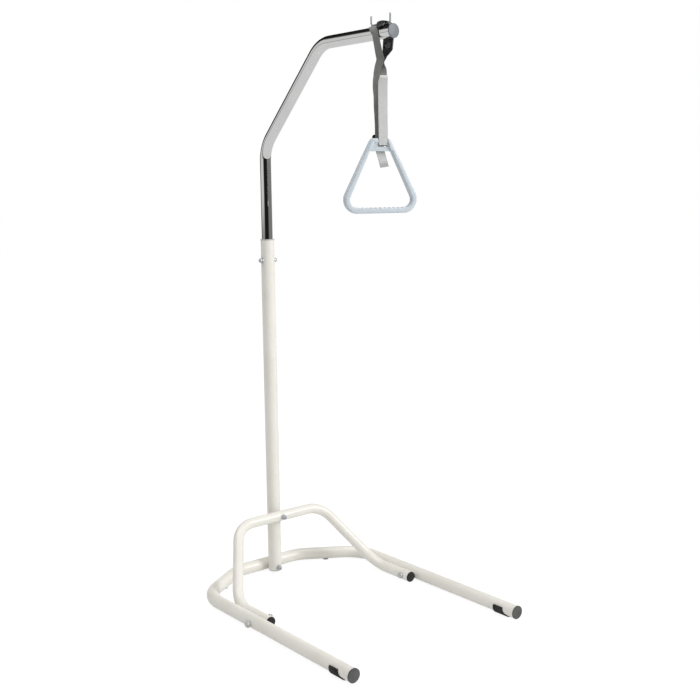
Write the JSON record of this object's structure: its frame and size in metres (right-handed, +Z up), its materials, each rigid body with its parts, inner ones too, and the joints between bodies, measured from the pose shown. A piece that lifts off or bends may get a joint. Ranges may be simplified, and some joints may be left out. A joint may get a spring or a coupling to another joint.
{
  "type": "bed trapeze",
  "caption": "Floor-standing bed trapeze: bent-tube base with arch, post, telescopic chrome boom, webbing strap with clip and triangular grip.",
  "frame": {"origin": "centre of the bounding box, on the floor", "axes": "+Z up along the post; the boom's arm and the base's legs point along -Y; X runs across the base from leg to leg"},
  "size_m": [0.6734, 0.84, 1.686],
  "materials": {
    "cream_paint": "semi-gloss powder coat",
    "chrome": "polished chrome plate",
    "zinc_steel": "bright zinc plate",
    "dark_plastic": "moulded, matt dark grey",
    "black_plastic": "moulded, matt black",
    "pale_plastic": "moulded, matt pale grey",
    "grey_plug": "moulded, matt mid grey",
    "grip_plastic": "moulded, satin pale blue-grey",
    "black_rubber": "matt rubber",
    "webbing_dark": "woven polyester, grey",
    "webbing_light": "woven polyester, pale grey"
  },
  "bodies": {
    "root": {"base_frame": "cream_paint", "post": "cream_paint", "arch": "cream_paint", "post_foot_plug": "dark_plastic", "post_top_bush": "pale_plastic", "leg_plug_left": "dark_plastic", "leg_plug_right": "dark_plastic", "leg_pad_left": "black_rubber", "leg_pad_right": "black_rubber", "rear_glide_left": "black_rubber", "rear_glide_right": "black_rubber", "arch_plug_left": "black_plastic", "arch_plug_right": "black_plastic", "foot_bolt_left": "zinc_steel", "foot_washer_left": "zinc_steel", "foot_nut_left": "zinc_steel", "foot_bolt_right": "zinc_steel", "foot_washer_right": "zinc_steel", "foot_nut_right": "zinc_steel", "post_base_bolt": "zinc_steel", "post_base_washer": "zinc_steel", "post_base_nut": "zinc_steel", "post_arch_bolt": "zinc_steel", "post_arch_washer": "zinc_steel", "post_arch_nut": "zinc_steel", "height_bolt": "zinc_steel", "height_washer_left": "zinc_steel", "height_washer_right": "zinc_steel", "height_nut": "zinc_steel"},
    "boom": {"boom": "chrome", "boom_end_plug": "grey_plug", "boom_lower_bush": "black_plastic", "strap_guide": "zinc_steel"},
    "sling": {"strap_loop": "webbing_dark", "strap_clip": "black_plastic", "clip_pin": "zinc_steel"},
    "clip_lever": {"clip_lever": "black_plastic"},
    "strap": {"strap_neck": "webbing_dark", "strap_front": "webbing_light", "strap_rear": "webbing_dark"},
    "handle": {"handle": "grip_plastic", "lock_pin": "zinc_steel", "strap_tail": "webbing_light"},
    "lock_lever": {"lock_lever": "black_plastic"}
  },
  "joints": [
    {"name": "boom_slide", "type": "slide", "parent": "root", "child": "boom", "axis": [0, 0, 1], "range_m": [0, 0.18]},
    {"name": "strap_sway", "type": "hinge", "parent": "boom", "child": "sling", "pos_m": [0, -0.18095, 1.638], "axis": [0, 1, 0], "range_deg": [-15, 15]},
    {"name": "clip_lever_hinge", "type": "hinge", "parent": "sling", "child": "clip_lever", "pos_m": [0.01539, -0.19395, 1.5966], "axis": [0, 1, 0], "range_deg": [0, 50]},
    {"name": "strap_swing", "type": "hinge", "parent": "sling", "child": "strap", "pos_m": [0.00907, -0.17815, 1.572], "axis": [-0.2079, 0.9781, 0], "range_deg": [-35, 35]},
    {"name": "handle_slide", "type": "slide", "parent": "strap", "child": "handle", "axis": [0, 0, 1], "range_m": [0, 0.1], "deforming": ["strap_front", "strap_rear"]},
    {"name": "lock_lever_hinge", "type": "hinge", "parent": "handle", "child": "lock_lever", "pos_m": [0.00565, -0.1668, 1.352], "axis": [0.9511, -0.309, 0], "range_deg": [-70, 0]}
  ]
}
